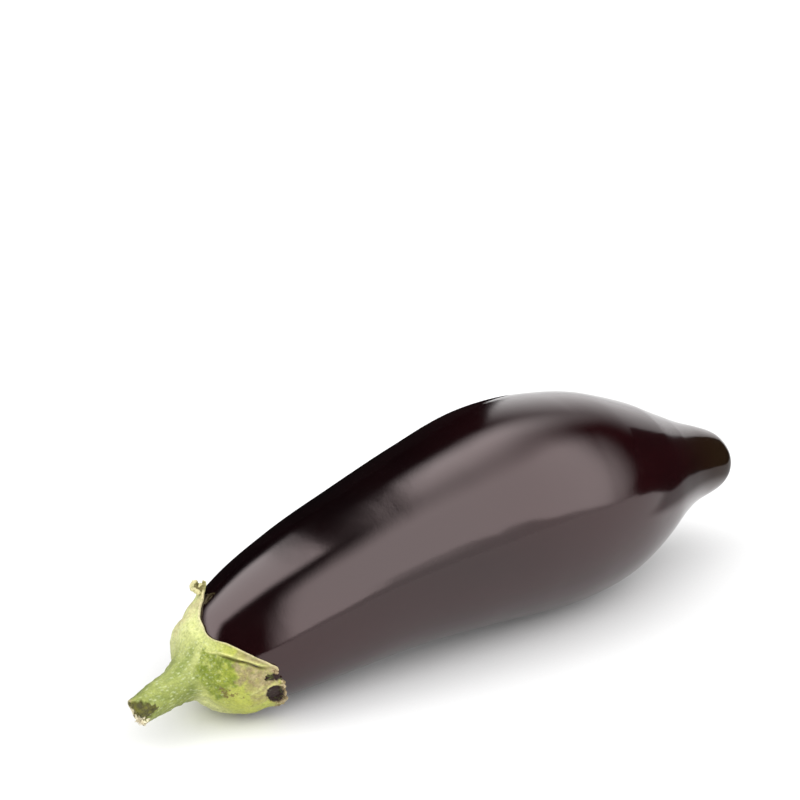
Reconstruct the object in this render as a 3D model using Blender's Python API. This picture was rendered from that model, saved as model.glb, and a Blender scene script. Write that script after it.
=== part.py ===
"""An eggplant lying on its side, as picked: a dark smooth fruit, the green calyx that clasps its
neck with four pointed lobes, and the cut stem. The long axis is X, with the stem towards -X and
the blossom end towards +X. The table is z = 0, and the origin is under the middle of the object.

Every section is a slightly oval ring, square to a centre line that climbs from the stem to the
belly and sinks again to the blossom end. Dimensions are in millimetres.
"""

from bisect import bisect_right
from math import cos, hypot, pi, radians, sin, sqrt

import bmesh
import bpy
from mathutils import Vector

MM = 0.001

# Centre line and fruit: station along X, section radius, height of the centre.
FRUIT = (
    (-120, 10.5, 16.4),
    (-104, 16.8, 19.6),
    (-94, 20.7, 22.1),
    (-84, 23.6, 24.7),
    (-60, 27.9, 30.2),
    (-30, 31.5, 35.3),
    (0, 35.9, 38.6),
    (25, 39.0, 40.0),
    (50, 39.0, 38.5),
    (70, 35.7, 36.8),
    (90, 28.1, 35.7),
    (104, 20.8, 34.8),
    (116, 15.5, 33.5),
    (126, 12.6, 31.9),
)
FRUIT_OVAL = 1.03  # width of a section over its height
NECK_CAP = (-96.0, -106.5)  # where the stem end starts to close, and its pole
NOSE_CAP = (123.0, 137.6)  # the same at the blossom end
FRUIT_STEP = 7.0
FRUIT_SIDES = 48

# Calyx and stem: station along X, outer radius.
GREEN = (
    (-137, 4.8),
    (-134, 4.9),
    (-125, 5.7),
    (-116, 6.8),
    (-111, 9.2),
    (-108, 12.6),
    (-105, 16.2),
    (-100, 20.0),
    (-94, 22.3),
    (-84, 25.0),
    (-76, 26.6),
)
STEM_BEND_START = -98.0  # the stem leans sideways from here on
STEM_BEND = 4.4
STEM_BEND_LENGTH = 37.0
STEM_SLOPE = 0.12
STEM_RIBS = 5
STEM_RIB_HEIGHT = 0.045  # of the radius
STEM_CUT = -136.4
STEM_CUT_BEVEL = 0.5
SEAM = -113.0  # where the stem meets the calyx
GAP = 0.3  # between the stem and the calyx
GAP_CALYX = 0.4  # between the calyx and the fruit

# Lobes of the calyx: angle of the tip from straight up towards +Y, half width of the blunt end,
# station of the tip, steepness of its edges, how far its tip curls away from the skin.
LOBES = (
    (-122.0, 17.0, -88.4, 1.5, 0.8),
    (24.0, 5.0, -90.5, 3.0, 2.6),
    (106.0, 3.0, -86.0, 1.7, 1.4),
    (170.0, 2.5, -89.0, 1.6, 0.0),
)
# Dips between the lobes: angle, station. The first one is between the last lobe and the first.
DIPS = ((-162.0, -99.5), (-14.0, -102.3), (72.0, -101.0), (142.0, -100.0))
CALYX_SAG = 1.2  # thicker underneath than on top
RIM_THICKNESS = 1.0
RIM_RUN = 10.0  # the calyx reaches its full thickness this far from its edge
CURL_RUN = 8.0
CALYX_SIDES = 72
CALYX_STEPS = 13
LINING_STEPS = 13


def smooth(stations, column, u):
    """Cubic through the stations, with slopes taken from the neighbours on both sides."""
    xs = [row[0] for row in stations]
    ys = [row[column] for row in stations]
    last = len(xs) - 1
    i = min(max(bisect_right(xs, u) - 1, 0), last - 1)
    rise = [(ys[k + 1] - ys[k]) / (xs[k + 1] - xs[k]) for k in range(last)]

    def slope(k):
        if k in (0, last):
            return rise[min(k, last - 1)]
        before, after = xs[k] - xs[k - 1], xs[k + 1] - xs[k]
        return (rise[k - 1] * after + rise[k] * before) / (before + after)

    span = xs[i + 1] - xs[i]
    t = (u - xs[i]) / span
    return (
        (2 * t**3 - 3 * t**2 + 1) * ys[i]
        + (t**3 - 2 * t**2 + t) * span * slope(i)
        + (3 * t**2 - 2 * t**3) * ys[i + 1]
        + (t**3 - t**2) * span * slope(i + 1)
    )


def ease(t):
    t = min(max(t, 0.0), 1.0)
    return t * t * (3 - 2 * t)


def centre(u):
    lean = max(STEM_BEND_START - u, 0.0) / STEM_BEND_LENGTH
    return Vector((u, -STEM_BEND * lean**2, smooth(FRUIT, 2, max(u, -119.0)) + STEM_SLOPE * min(u + 119.0, 0.0)))


def frame_at(u):
    """Centre, up and side directions of the section at u."""
    along = (centre(u + 0.5) - centre(u - 0.5)).normalized()
    up = (Vector((0, 0, 1)) - along * along.z).normalized()
    return centre(u), up, up.cross(along)


def ring_point(u, angle, radius, oval=1.0):
    middle, up, side = frame_at(u)
    return (middle + up * (radius * cos(angle)) + side * (radius * oval * sin(angle))) * MM


def cap_factor(u, start, pole):
    return sqrt(max(1 - ((u - start) / (pole - start)) ** 2, 0.0))


def fruit_radius(u):
    radius = smooth(FRUIT, 1, u)
    if u < NECK_CAP[0]:
        return smooth(FRUIT, 1, NECK_CAP[0] + (u - NECK_CAP[0]) * 0.4) * cap_factor(u, *NECK_CAP)
    if u > NOSE_CAP[0]:
        return smooth(FRUIT, 1, NOSE_CAP[0] + (u - NOSE_CAP[0]) * 0.3) * cap_factor(u, *NOSE_CAP)
    return radius


def stations_between(start, end, step):
    count = max(round(abs(end - start) / step), 1)
    return [start + (end - start) * k / count for k in range(count + 1)]


def cap_stations(start, pole, count):
    return [start + (pole - start) * sin(pi / 2 * k / count) for k in range(count)]


def turned(angle):
    """Angle brought to between -180 and 180 degrees."""
    return (angle + 180.0) % 360.0 - 180.0


def rim(angle):
    """Station of the calyx's edge at this angle in degrees, and the curl of the lobe there."""
    for k, (tip, blunt, tip_u, power, curl) in enumerate(LOBES):
        low_angle, low_u = DIPS[k]
        high_angle, high_u = DIPS[(k + 1) % len(DIPS)]
        off = turned(angle - tip)
        to_low, to_high = turned(low_angle - tip), turned(high_angle - tip)
        if not to_low <= off < to_high:
            continue
        reach, dip_u = (-to_low, low_u) if off < 0 else (to_high, high_u)
        away = max(hypot(max(abs(off) - blunt, 0.0), 2.0) - 2.0, 0.0) / (reach - blunt)
        weight = max(1 - away, 0.0) ** power
        return dip_u + (tip_u - dip_u) * weight, curl * weight**2
    return DIPS[0][1], 0.0


def rib(u, angle):
    """The stem's ridges, which die out over the calyx."""
    fade = ease((-105.0 - u) / 12.0)
    return 1 + STEM_RIB_HEIGHT * fade * cos(STEM_RIBS * angle)


def new_mesh_object(name, bm, colour, roughness):
    bmesh.ops.recalc_face_normals(bm, faces=bm.faces)
    mesh = bpy.data.meshes.new(name)
    bm.to_mesh(mesh)
    bm.free()
    mesh.polygons.foreach_set("use_smooth", [True] * len(mesh.polygons))
    material = bpy.data.materials.new(name)
    material.use_nodes = True
    shader = material.node_tree.nodes["Principled BSDF"]
    shader.inputs["Base Color"].default_value = (*colour, 1.0)
    shader.inputs["Roughness"].default_value = roughness
    shader.inputs["Metallic"].default_value = 0.0
    mesh.materials.append(material)
    obj = bpy.data.objects.new(name, mesh)
    bpy.context.scene.collection.objects.link(obj)
    return obj


def bridge(bm, rings):
    """Quads between neighbouring rings of equal count."""
    for first, second in zip(rings, rings[1:]):
        count = len(first)
        for j in range(count):
            bm.faces.new((first[j], first[(j + 1) % count], second[(j + 1) % count], second[j]))


def fan(bm, ring, point):
    pole = bm.verts.new(point)
    for j in range(len(ring)):
        bm.faces.new((ring[j], ring[(j + 1) % len(ring)], pole))


def flatten_base(bm):
    """Cuts the piece off where it stands on the table, and closes the cut with one flat face."""
    cut = bmesh.ops.bisect_plane(
        bm,
        geom=bm.verts[:] + bm.edges[:] + bm.faces[:],
        dist=1e-7,
        plane_co=(0, 0, 0),
        plane_no=(0, 0, -1),
        clear_outer=True,
    )
    edges = [item for item in cut["geom_cut"] if isinstance(item, bmesh.types.BMEdge)]
    for vert in {vert for edge in edges for vert in edge.verts}:
        vert.co.z = 0.0
    bmesh.ops.holes_fill(bm, edges=edges, sides=0)


def make_fruit():
    bm = bmesh.new()
    neck = cap_stations(NECK_CAP[0], NECK_CAP[1], 7)[:0:-1]
    nose = cap_stations(NOSE_CAP[0], NOSE_CAP[1], 7)[1:]
    body = stations_between(NECK_CAP[0], NOSE_CAP[0], FRUIT_STEP)
    rings = []
    for u in neck + body + nose:
        radius = fruit_radius(u)
        rings.append(
            [
                bm.verts.new(ring_point(u, 2 * pi * j / FRUIT_SIDES, radius, FRUIT_OVAL))
                for j in range(FRUIT_SIDES)
            ]
        )
    bridge(bm, rings)
    fan(bm, rings[0], centre(NECK_CAP[1]) * MM)
    fan(bm, rings[-1], centre(NOSE_CAP[1]) * MM)
    flatten_base(bm)
    return new_mesh_object("fruit", bm, (0.012, 0.005, 0.009), 0.18)


def lining_radius(u):
    """Radius of the calyx's inside, which follows the fruit with an even gap."""
    pole = NECK_CAP[1] - GAP_CALYX
    if u >= NECK_CAP[0]:
        return smooth(FRUIT, 1, u) + GAP_CALYX
    radius = smooth(FRUIT, 1, NECK_CAP[0] + (u - NECK_CAP[0]) * 0.4) + GAP_CALYX
    return radius * cap_factor(u, NECK_CAP[0], pole)


def calyx_radius(u, edge, angle):
    """Outer radius of the calyx: thin at its edge, full further back."""
    full = smooth(GREEN, 1, u) * rib(u, angle) - CALYX_SAG * cos(angle) * ease((u + 114.0) / 8.0)
    if u < NECK_CAP[1] - GAP_CALYX:
        return full
    thin = lining_radius(u) + RIM_THICKNESS
    from_edge = hypot(edge - u, lining_radius(edge) - lining_radius(u))
    return thin + (max(full, thin) - thin) * ease(from_edge / RIM_RUN)


def evenly(radius_at, start, end, steps):
    """Stations from start to end that are evenly spread along the profile they cut."""
    fine = 160
    us = [start + (end - start) * (1 - cos(pi * k / fine)) / 2 for k in range(fine + 1)]
    run = [0.0]
    for first, second in zip(us, us[1:]):
        run.append(run[-1] + hypot(second - first, radius_at(second) - radius_at(first)))
    picked = []
    for k in range(steps + 1):
        goal = run[-1] * k / steps
        i = min(max(bisect_right(run, goal) - 1, 0), fine - 1)
        share = (goal - run[i]) / max(run[i + 1] - run[i], 1e-9)
        picked.append(us[i] + (us[i + 1] - us[i]) * min(share, 1.0))
    return picked


def make_calyx():
    bm = bmesh.new()
    count = CALYX_SIDES
    angles = [360.0 * j / count - 180.0 for j in range(count)]
    edges = [rim(angle) for angle in angles]
    pole = NECK_CAP[1] - GAP_CALYX
    inside = [[None] * count for _ in range(LINING_STEPS)]
    outside = [[None] * count for _ in range(CALYX_STEPS + 1)]
    for j, (angle, (edge, curl)) in enumerate(zip(angles, edges)):
        turn = radians(angle)

        def lift(u):
            return curl * ease((u - edge + CURL_RUN) / CURL_RUN) ** 1.5

        for k, u in enumerate(evenly(lining_radius, pole, edge, LINING_STEPS)[1:]):
            point = ring_point(u, turn, lining_radius(u) + lift(u), FRUIT_OVAL)
            inside[k][j] = bm.verts.new(point)

        def outer(u):
            return calyx_radius(u, edge, turn)

        for k, u in enumerate(evenly(outer, edge, SEAM, CALYX_STEPS)):
            oval = 1 + (FRUIT_OVAL - 1) * ease((u + 112.0) / 10.0)
            outside[k][j] = bm.verts.new(ring_point(u, turn, outer(u) + lift(u), oval))
    rings = inside + outside
    bridge(bm, rings)
    fan(bm, rings[0], centre(pole) * MM)
    bm.faces.new(rings[-1])
    flatten_base(bm)
    return new_mesh_object("calyx", bm, (0.36, 0.42, 0.13), 0.6)


def make_stem():
    bm = bmesh.new()
    sides = CALYX_SIDES // 2
    rings = []
    stations = stations_between(SEAM - GAP, STEM_CUT + STEM_CUT_BEVEL, 2.0) + [STEM_CUT]
    for u in stations:
        inset = STEM_CUT_BEVEL if u == STEM_CUT else 0.0
        ring = []
        for j in range(sides):
            angle = 2 * pi * j / sides - pi
            radius = smooth(GREEN, 1, u) * rib(u, angle) - inset
            ring.append(bm.verts.new(ring_point(u, angle, radius)))
        rings.append(ring)
    bridge(bm, rings)
    bm.faces.new(rings[0])
    bm.faces.new(rings[-1])
    return new_mesh_object("stem", bm, (0.38, 0.43, 0.15), 0.65)


def main():
    for obj in list(bpy.data.objects):
        bpy.data.objects.remove(obj, do_unlink=True)
    make_fruit()
    make_calyx()
    make_stem()


main()
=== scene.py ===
"""Looks for an eggplant lying on its side on a pale floor: glossy near-black skin, a fleshy green
calyx with dried tips, and a cut stem. Lengths are in millimetres until a mesh is made.
"""

import math

import bpy
import numpy as np
from mathutils import Matrix, Vector


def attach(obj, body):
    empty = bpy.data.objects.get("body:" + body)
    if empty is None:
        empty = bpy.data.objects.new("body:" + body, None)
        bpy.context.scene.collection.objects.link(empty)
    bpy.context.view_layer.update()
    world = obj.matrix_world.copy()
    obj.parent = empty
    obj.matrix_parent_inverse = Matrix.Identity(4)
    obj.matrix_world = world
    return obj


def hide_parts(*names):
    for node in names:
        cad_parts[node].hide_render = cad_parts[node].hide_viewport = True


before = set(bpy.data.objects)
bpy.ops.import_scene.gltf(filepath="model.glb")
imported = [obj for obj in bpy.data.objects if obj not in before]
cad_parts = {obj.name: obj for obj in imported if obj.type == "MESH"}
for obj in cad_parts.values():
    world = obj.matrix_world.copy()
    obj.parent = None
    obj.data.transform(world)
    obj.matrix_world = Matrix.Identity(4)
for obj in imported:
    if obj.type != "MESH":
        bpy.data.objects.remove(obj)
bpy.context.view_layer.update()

MM = 0.001

# ---------------------------------------------------------------- shared shape, as in the frame
# Station along X, section radius, height of the centre.
FRUIT = np.array(
    (
        (-120, 10.5, 16.4),
        (-104, 16.8, 19.6),
        (-94, 20.7, 22.1),
        (-84, 23.6, 24.7),
        (-60, 27.9, 30.2),
        (-30, 31.5, 35.3),
        (0, 35.9, 38.6),
        (25, 39.0, 40.0),
        (50, 39.0, 38.5),
        (70, 35.7, 36.8),
        (90, 28.1, 35.7),
        (104, 20.8, 34.8),
        (116, 15.5, 33.5),
        (126, 12.6, 31.9),
    ),
    float,
)
GREEN = np.array(
    (
        (-137, 4.8),
        (-134, 4.9),
        (-125, 5.7),
        (-116, 6.8),
        (-111, 9.2),
        (-108, 12.6),
        (-105, 16.2),
        (-100, 20.0),
        (-94, 22.3),
        (-84, 25.0),
        (-76, 26.6),
    ),
    float,
)
OVAL = 1.03
NECK_START, NECK_POLE = -96.0, -106.5
NOSE_START, NOSE_POLE = 123.0, 137.6
SEAM = -113.0
CUT = -136.4
# Station and radius of the rounded blossom end.
NOSE = np.array(
    (
        (82, 31.3),
        (90, 28.1),
        (98, 23.9),
        (104, 20.8),
        (110, 17.9),
        (116, 15.5),
        (122, 13.8),
        (127, 12.35),
        (131, 10.75),
        (134.5, 8.1),
        (136.6, 4.8),
        (137.6, 0.0),
    ),
    float,
)

# Edge of the calyx: angle from straight up towards +Y, station.
RIM = np.array(
    (
        (-162, -99.5),
        (-152, -96.8),
        (-147, -93.0),
        (-143, -89.6),
        (-139, -88.3),
        (-133, -88.2),
        (-124, -88.7),
        (-114, -89.4),
        (-106, -89.6),
        (-98, -89.9),
        (-92, -90.3),
        (-87, -90.5),
        (-84, -91.4),
        (-80, -92.5),
        (-73, -94.7),
        (-66, -96.4),
        (-59, -97.9),
        (-52, -99.2),
        (-43, -100.6),
        (-34, -101.9),
        (-23, -102.7),
        (-13, -102.5),
        (-5, -101.5),
        (1, -100.8),
        (5, -100.1),
        (8, -98.8),
        (13, -96.5),
        (17, -94.2),
        (21, -92.5),
        (26, -91.7),
        (30, -92.8),
        (36, -95.4),
        (45, -97.6),
        (58, -100.2),
        (72, -101.2),
        (84, -99.6),
        (94, -95.5),
        (101, -90.0),
        (105, -87.2),
        (108, -87.0),
        (112, -89.5),
        (119, -94.5),
        (129, -98.4),
        (142, -100.1),
        (151, -98.2),
        (160, -94.0),
        (166, -90.4),
        (170, -89.2),
        (174, -90.4),
        (180, -94.2),
        (190, -98.2),
        (198, -99.5),
    ),
    float,
)


def cubic(xs, ys, x):
    """Cubic through the points, with slopes from the neighbours on both sides."""
    x = np.asarray(x, float)
    last = len(xs) - 1
    i = np.clip(np.searchsorted(xs, x, side="right") - 1, 0, last - 1)
    rise = np.diff(ys) / np.diff(xs)
    slope = np.empty(len(xs))
    slope[0], slope[-1] = rise[0], rise[-1]
    before, after = xs[1:-1] - xs[:-2], xs[2:] - xs[1:-1]
    slope[1:-1] = (rise[:-1] * after + rise[1:] * before) / (before + after)
    span = xs[i + 1] - xs[i]
    t = (x - xs[i]) / span
    return (
        (2 * t**3 - 3 * t**2 + 1) * ys[i]
        + (t**3 - 2 * t**2 + t) * span * slope[i]
        + (3 * t**2 - 2 * t**3) * ys[i + 1]
        + (t**3 - t**2) * span * slope[i + 1]
    )


def ease(t):
    t = np.clip(t, 0.0, 1.0)
    return t * t * (3 - 2 * t)


def bump(x, middle, half, soft):
    """1 within half of the middle, falling to 0 over soft."""
    return 1 - ease((np.abs(x - middle) - half) / soft)


def centre(u):
    u = np.asarray(u, float)
    lean = np.maximum(-98.0 - u, 0.0) / 37.0
    height = cubic(FRUIT[:, 0], FRUIT[:, 2], np.maximum(u, -119.0)) + 0.12 * np.minimum(u + 119.0, 0.0)
    return np.stack([u, -4.4 * lean**2, height], -1)


def frame_at(u):
    along = centre(u + 0.5) - centre(u - 0.5)
    along /= np.linalg.norm(along, axis=-1, keepdims=True)
    up = np.array([0.0, 0.0, 1.0]) - along * along[..., 2:3]
    up /= np.linalg.norm(up, axis=-1, keepdims=True)
    return centre(u), up, np.cross(up, along)


def place(u, turn, radius, oval):
    """Points at the stations u, turned by turn radians from up."""
    middle, up, side = frame_at(u)
    return middle + up * (radius * np.cos(turn))[..., None] + side * (radius * oval * np.sin(turn))[..., None]


def cap(u, start, pole):
    return np.sqrt(np.maximum(1 - ((u - start) / (pole - start)) ** 2, 0.0))


def fruit_radius(u):
    """Section radius. Towards the blossom end it is evened out over a few millimetres, so that no ring shows."""
    u = np.asarray(u, float)
    even = sum(weight * raw_radius(u + step) for step, weight in ((-4.5, 0.08), (-3.0, 0.14), (-1.5, 0.18), (0.0, 0.20), (1.5, 0.18), (3.0, 0.14), (4.5, 0.08)))
    here = raw_radius(u)
    return here + (even - here) * ease((u - 72.0) / 10.0) * ease((129.0 - u) / 6.0)


def raw_radius(u):
    neck = u < NECK_START
    nose = u > NOSE_START
    at = np.where(nose, NOSE_START + (u - NOSE_START) * 0.3, u)
    factor = np.where(neck, cap(u, NECK_START, NECK_POLE) ** 0.72, np.where(nose, cap(u, NOSE_START, NOSE_POLE), 1.0))
    radius = cubic(FRUIT[:, 0], FRUIT[:, 1], at) * factor
    # The blossom end is drawn through the squares of its radii, so that it closes round.
    round_end = np.sqrt(np.maximum(cubic(NOSE[:, 0], NOSE[:, 1] ** 2, np.clip(u, 82.0, NOSE_POLE)), 0.0))
    return radius + (round_end - radius) * ease((u - 96.0) / 12.0)


def waves(points, size, seed, count=16):
    """Smooth noise about one unit high, with bumps of about this size."""
    rng = np.random.default_rng(seed)
    way = rng.normal(size=(count, 3))
    way /= np.linalg.norm(way, axis=1, keepdims=True)
    pitch = 2 * math.pi / size * rng.uniform(0.6, 1.5, count)
    phase = rng.uniform(0, 2 * math.pi, count)
    total = np.zeros(points.shape[:-1])
    for k in range(count):
        total += np.sin(points @ (way[k] * pitch[k]) + phase[k])
    return total / math.sqrt(count / 2)


def normals_of(points):
    """Outward normals of a grid of rings that wraps round."""
    along = np.gradient(points, axis=0)
    around = (np.roll(points, -1, axis=1) - np.roll(points, 1, axis=1)) / 2
    normal = np.cross(around, along)
    out = points - points.mean(axis=1, keepdims=True)
    if (normal * out).sum() < 0:
        normal = -normal
    return normal / np.maximum(np.linalg.norm(normal, axis=-1, keepdims=True), 1e-12)


def distance_to(points, line):
    """Distance of each point to a polyline, and where along it (0 to 1) the nearest point lies."""
    best = np.full(points.shape[:-1], 1e9)
    where = np.zeros(points.shape[:-1])
    length = np.linalg.norm(np.diff(line, axis=0), axis=1)
    run = np.concatenate([[0], np.cumsum(length)])
    for k in range(len(line) - 1):
        a, b = line[k], line[k + 1]
        t = np.clip(((points - a) @ (b - a)) / max(length[k] ** 2, 1e-12), 0, 1)
        d = np.linalg.norm(points - (a + t[..., None] * (b - a)), axis=-1)
        near = d < best
        best = np.where(near, d, best)
        where = np.where(near, (run[k] + t * length[k]) / run[-1], where)
    return best, where


def inside_distance(x, y, corners):
    """Distance to a polygon's outline in the plane, negative inside it."""
    corners = np.asarray(corners, float)
    best = np.full(x.shape, 1e9)
    inside = np.zeros(x.shape, bool)
    for (ax, ay), (bx, by) in zip(corners, np.roll(corners, -1, axis=0)):
        dx, dy = bx - ax, by - ay
        t = np.clip(((x - ax) * dx + (y - ay) * dy) / (dx * dx + dy * dy), 0, 1)
        best = np.minimum(best, np.hypot(x - ax - t * dx, y - ay - t * dy))
        crosses = (ay > y) != (by > y)
        cut = np.where(crosses, (bx - ax) * (y - ay) / np.where(by == ay, 1.0, by - ay) + ax, 1e9)
        inside ^= crosses & (x < cut)
    return np.where(inside, -best, best)


# ---------------------------------------------------------------- mesh helpers
class Shell:
    """Vertices, faces and per-vertex values of one piece, gathered from several parts."""

    def __init__(self):
        self.points, self.faces, self.values, self.sharp = [], [], {}, []
        self.count = 0

    def add(self, points, faces, **values):
        points = np.asarray(points, float).reshape(-1, 3)
        n = len(points)
        for name in set(self.values) | set(values):
            column = self.values.setdefault(name, [np.zeros(self.count)] if self.count else [])
            got = values.get(name, 0.0)
            column.append(np.broadcast_to(np.asarray(got, float).ravel(), (n,)) if np.ndim(got) else np.full(n, got))
        self.points.append(points)
        self.faces.extend([tuple(int(i) + self.count for i in face) for face in faces])
        self.count += n

    def build(self, name):
        points = np.concatenate(self.points) * MM
        points[:, 2] = np.maximum(points[:, 2], 0.0)
        mesh = bpy.data.meshes.new(name)
        mesh.from_pydata(points.tolist(), [], self.faces)
        for key, columns in self.values.items():
            attribute = mesh.attributes.new(key, "FLOAT", "POINT")
            attribute.data.foreach_set("value", np.concatenate(columns).astype(np.float32))
        mesh.polygons.foreach_set("use_smooth", [True] * len(mesh.polygons))
        mesh.validate()
        obj = bpy.data.objects.new(name, mesh)
        bpy.context.scene.collection.objects.link(obj)
        return obj


def ring_faces(rings, sides, flip=False):
    faces = []
    for i in range(rings - 1):
        a, b = i * sides, (i + 1) * sides
        for j in range(sides):
            k = (j + 1) % sides
            quad = (a + j, a + k, b + k, b + j)
            faces.append(quad[::-1] if flip else quad)
    return faces


def fan_faces(ring_start, sides, pole, flip=False):
    faces = []
    for j in range(sides):
        tri = (ring_start + j, ring_start + (j + 1) % sides, pole)
        faces.append(tri[::-1] if flip else tri)
    return faces


def ribbon(path, side, half_widths, thickness, cup=0.0, steps=28, across=9):
    """A closed curved strip: points along it, the direction of its width, and half widths along it."""
    path = np.asarray(path, float)
    knots = np.linspace(0, 1, len(path))
    t = np.linspace(0, 1, steps)
    line = np.stack([cubic(knots, path[:, k], t) for k in range(3)], -1)
    half = np.interp(t, np.linspace(0, 1, len(half_widths)), half_widths)
    along = np.gradient(line, axis=0)
    along /= np.linalg.norm(along, axis=1, keepdims=True)
    side = np.asarray(side, float)
    if side.ndim == 1:
        side = np.broadcast_to(side, line.shape)
    else:
        side = np.stack([np.interp(t, np.linspace(0, 1, len(side)), side[:, k]) for k in range(3)], -1)
    side = side - along * (side * along).sum(1, keepdims=True)
    side /= np.linalg.norm(side, axis=1, keepdims=True)
    normal = np.cross(along, side)
    w = np.linspace(-1, 1, across)
    thick = thickness * np.sqrt(np.clip(1 - np.abs(w) ** 4, 0.02, 1))
    top = (
        line[:, None]
        + side[:, None] * (half[:, None] * w)[..., None]
        + normal[:, None] * (cup * half[:, None] * w**2)[..., None]
    )
    end = np.minimum(1.0, np.minimum(t, 1 - t) * steps / 2 + 0.35)
    up = top + normal[:, None] * (thick * end[:, None] / 2)[..., None]
    down = top - normal[:, None] * (thick * end[:, None] / 2)[..., None]
    loop = np.concatenate([up, down[:, ::-1]], axis=1)
    count = loop.shape[1]
    faces = ring_faces(steps, count)
    faces.append(tuple(range(count))[::-1])
    faces.append(tuple((steps - 1) * count + j for j in range(count)))
    inner = np.concatenate([np.zeros(across), np.ones(across)])[None].repeat(steps, 0)
    edge = np.concatenate([np.abs(w) ** 3, np.abs(w[::-1]) ** 3])[None].repeat(steps, 0)
    far = np.broadcast_to(t[:, None], (steps, count))
    return loop, faces, inner, edge, far


# ---------------------------------------------------------------- the fruit
def build_fruit():
    sides = 240
    neck = NECK_START + (NECK_POLE - NECK_START) * np.sin(math.pi / 2 * np.linspace(0.97, 0.03, 20))
    body = np.linspace(NECK_START, NOSE_START, 206)
    nose = NOSE_START + (NOSE_POLE - NOSE_START) * np.sin(math.pi / 2 * np.linspace(0.03, 0.985, 34))
    u = np.concatenate([neck, body, nose])
    turn = np.linspace(0, 2 * math.pi, sides, endpoint=False)
    uu, tt = np.meshgrid(u, turn, indexing="ij")
    radius = fruit_radius(uu)
    points = place(uu, tt, radius, OVAL)
    normal = normals_of(points)
    # Slight swells and flats of a grown skin. They die out where it rests.
    low = ease((points[..., 2] - 2.0) / 14.0)
    swell = 0.10 * waves(points, 70.0, 3) + 0.010 * waves(points, 24.0, 4)
    swell += 0.06 * np.cos(5 * tt + 0.6 + 0.9 * np.sin(uu / 60.0)) * ease((uu + 96) / 40) * ease((118 - uu) / 30)
    points = points + normal * (swell * low)[..., None]
    # The blossom scar: a small rough button in a shallow dent.
    from_pole = np.linalg.norm(points - centre(NOSE_POLE), axis=-1)
    scar = 1 - ease((from_pole - 2.2 - 0.35 * waves(points, 2.4, 9)) / 0.8)
    dent = -0.5 * np.exp(-((from_pole / 4.5) ** 2)) + 0.25 * scar * (0.6 + 0.4 * waves(points, 1.1, 12))
    points = points + normal * dent[..., None]
    n = len(u)
    faces = ring_faces(n, sides, flip=True)
    extra = np.array([centre(NECK_POLE), centre(NOSE_POLE) - [0.5, 0, 0]])
    faces += fan_faces(0, sides, n * sides)
    faces += fan_faces((n - 1) * sides, sides, n * sides + 1, flip=True)
    shell = Shell()
    shell.add(
        np.concatenate([points.reshape(-1, 3), extra]),
        faces,
        scar=np.concatenate([scar.ravel(), [0, 1]]),
    )
    return shell.build("skin_body")


# ---------------------------------------------------------------- calyx and stem
def rib(u, turn):
    return 1 + 0.045 * ease((-105.0 - u) / 12.0) * np.cos(5 * turn)


def rim_at(angle):
    """Station of the calyx's edge at these angles in degrees."""
    wrapped = (np.asarray(angle, float) + 162.0) % 360.0 - 162.0
    return cubic(RIM[:, 0], RIM[:, 1], wrapped)


def thickness_at(u, angle):
    """How far the calyx's thin edge stands above the skin."""
    far_side = bump(angle, 52.0, 26.0, 12.0) * ease((u + 104.0) / 5.0)
    return 0.95 - 0.35 * far_side


def lift_at(u, angle):
    """How far the dried ends stand off the skin."""
    loop = 1.5 * bump(angle, -127.0, 19.0, 10.0) * ease((u + 94.5) / 5.5)
    sliver = 0.35 * bump(angle, -89.0, 4.0, 5.0) * ease((u + 94.0) / 4.0)
    first = 1.8 * bump(angle, 24.0, 5.0, 14.0) * ease((u + 97.0) / 7.0) ** 1.4
    second = 1.6 * bump(angle, 106.0, 4.0, 12.0) * ease((u + 93.0) / 7.0) ** 1.4
    return loop + sliver + first + second


def green_radius(u, angle, edge):
    """Outer radius of calyx and stem, before the fine relief."""
    turn = np.radians(angle)
    full = cubic(GREEN[:, 0], GREEN[:, 1], u) * rib(u, turn) - 1.2 * np.cos(turn) * ease((u + 114.0) / 8.0)
    skin = fruit_radius(np.maximum(u, NECK_POLE))
    thin = skin + thickness_at(u, angle)
    from_edge = np.hypot(edge - u, fruit_radius(np.maximum(edge, NECK_POLE)) - skin)
    rise = full - thin
    blend = thin + (rise + np.sqrt(rise**2 + 1.2)) / 2 * ease(from_edge / 10.0)
    return np.where(u < NECK_POLE - 0.4, full, blend)


def end_at(angle):
    """Station of the cut end, which is slanted away from the near side."""
    return CUT + 0.5 - 2.2 * np.cos(np.radians(angle + 59.0))


def green_oval(u):
    return 1 + (OVAL - 1) * ease((u + 112.0) / 10.0)


def on_green(pairs):
    """Points on the green surface for (station, angle) pairs."""
    pairs = np.asarray(pairs, float)
    u, angle = pairs[:, 0], pairs[:, 1]
    return place(u, np.radians(angle), green_radius(u, angle, rim_at(angle)) + lift_at(u, angle), green_oval(u))


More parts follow.
